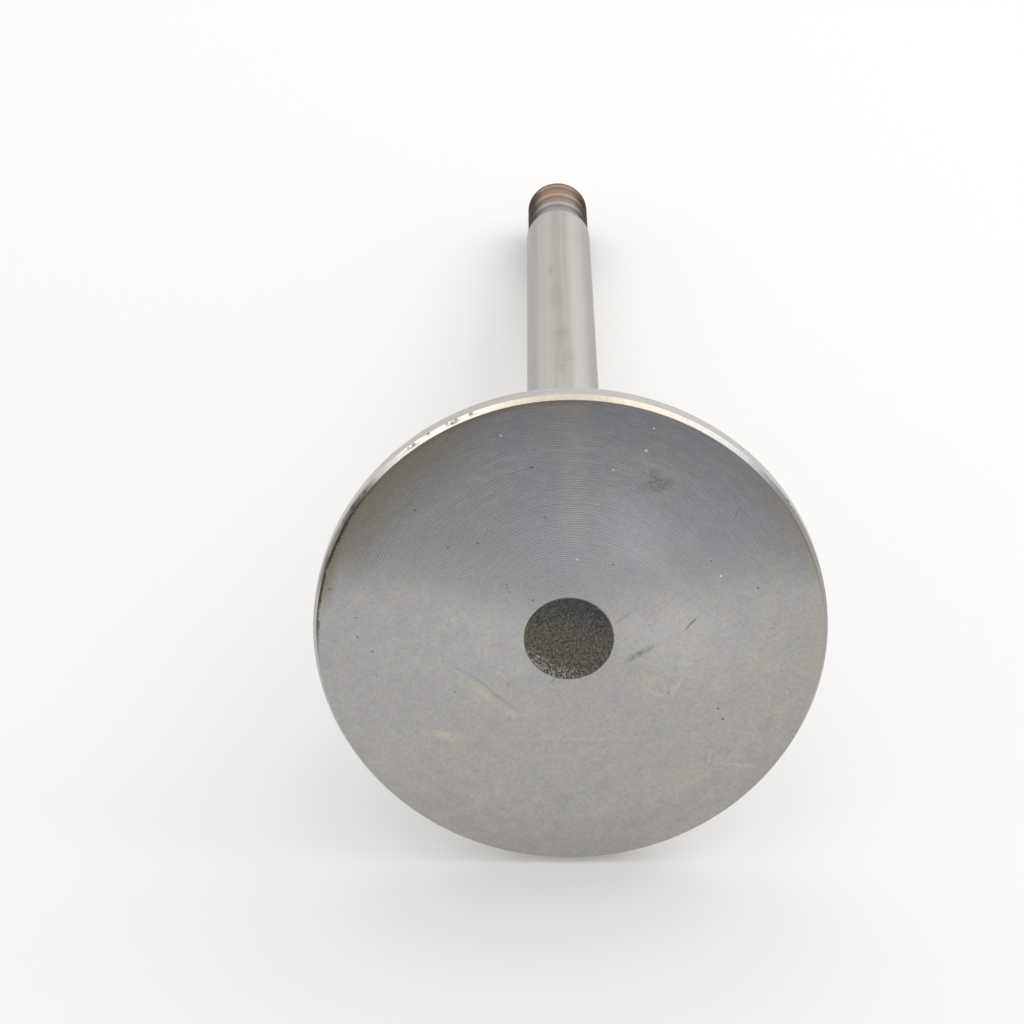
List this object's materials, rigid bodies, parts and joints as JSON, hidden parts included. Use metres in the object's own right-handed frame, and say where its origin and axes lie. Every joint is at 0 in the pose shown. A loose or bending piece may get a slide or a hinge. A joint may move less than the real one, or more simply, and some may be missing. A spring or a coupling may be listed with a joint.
{
  "type": "engine valve",
  "caption": "Poppet valve for a piston engine: flat round head with a bevelled rim, margin and sealing cone, a forged recess in its face, and a slim ground stem with keeper grooves.",
  "frame": {"origin": "middle of the flat combustion face, on the valve's axis", "axes": "+Z along the stem from the face to the stem end; the valve stands on its head, face down; X and Y are equal, as it is round"},
  "size_m": [0.042, 0.042, 0.1112],
  "materials": {
    "valve_steel": "bare alloy steel, finely turned face, ground rim and stem, heat-tinted stem end"
  },
  "bodies": {
    "root": {"valve": "valve_steel"}
  },
  "joints": []
}
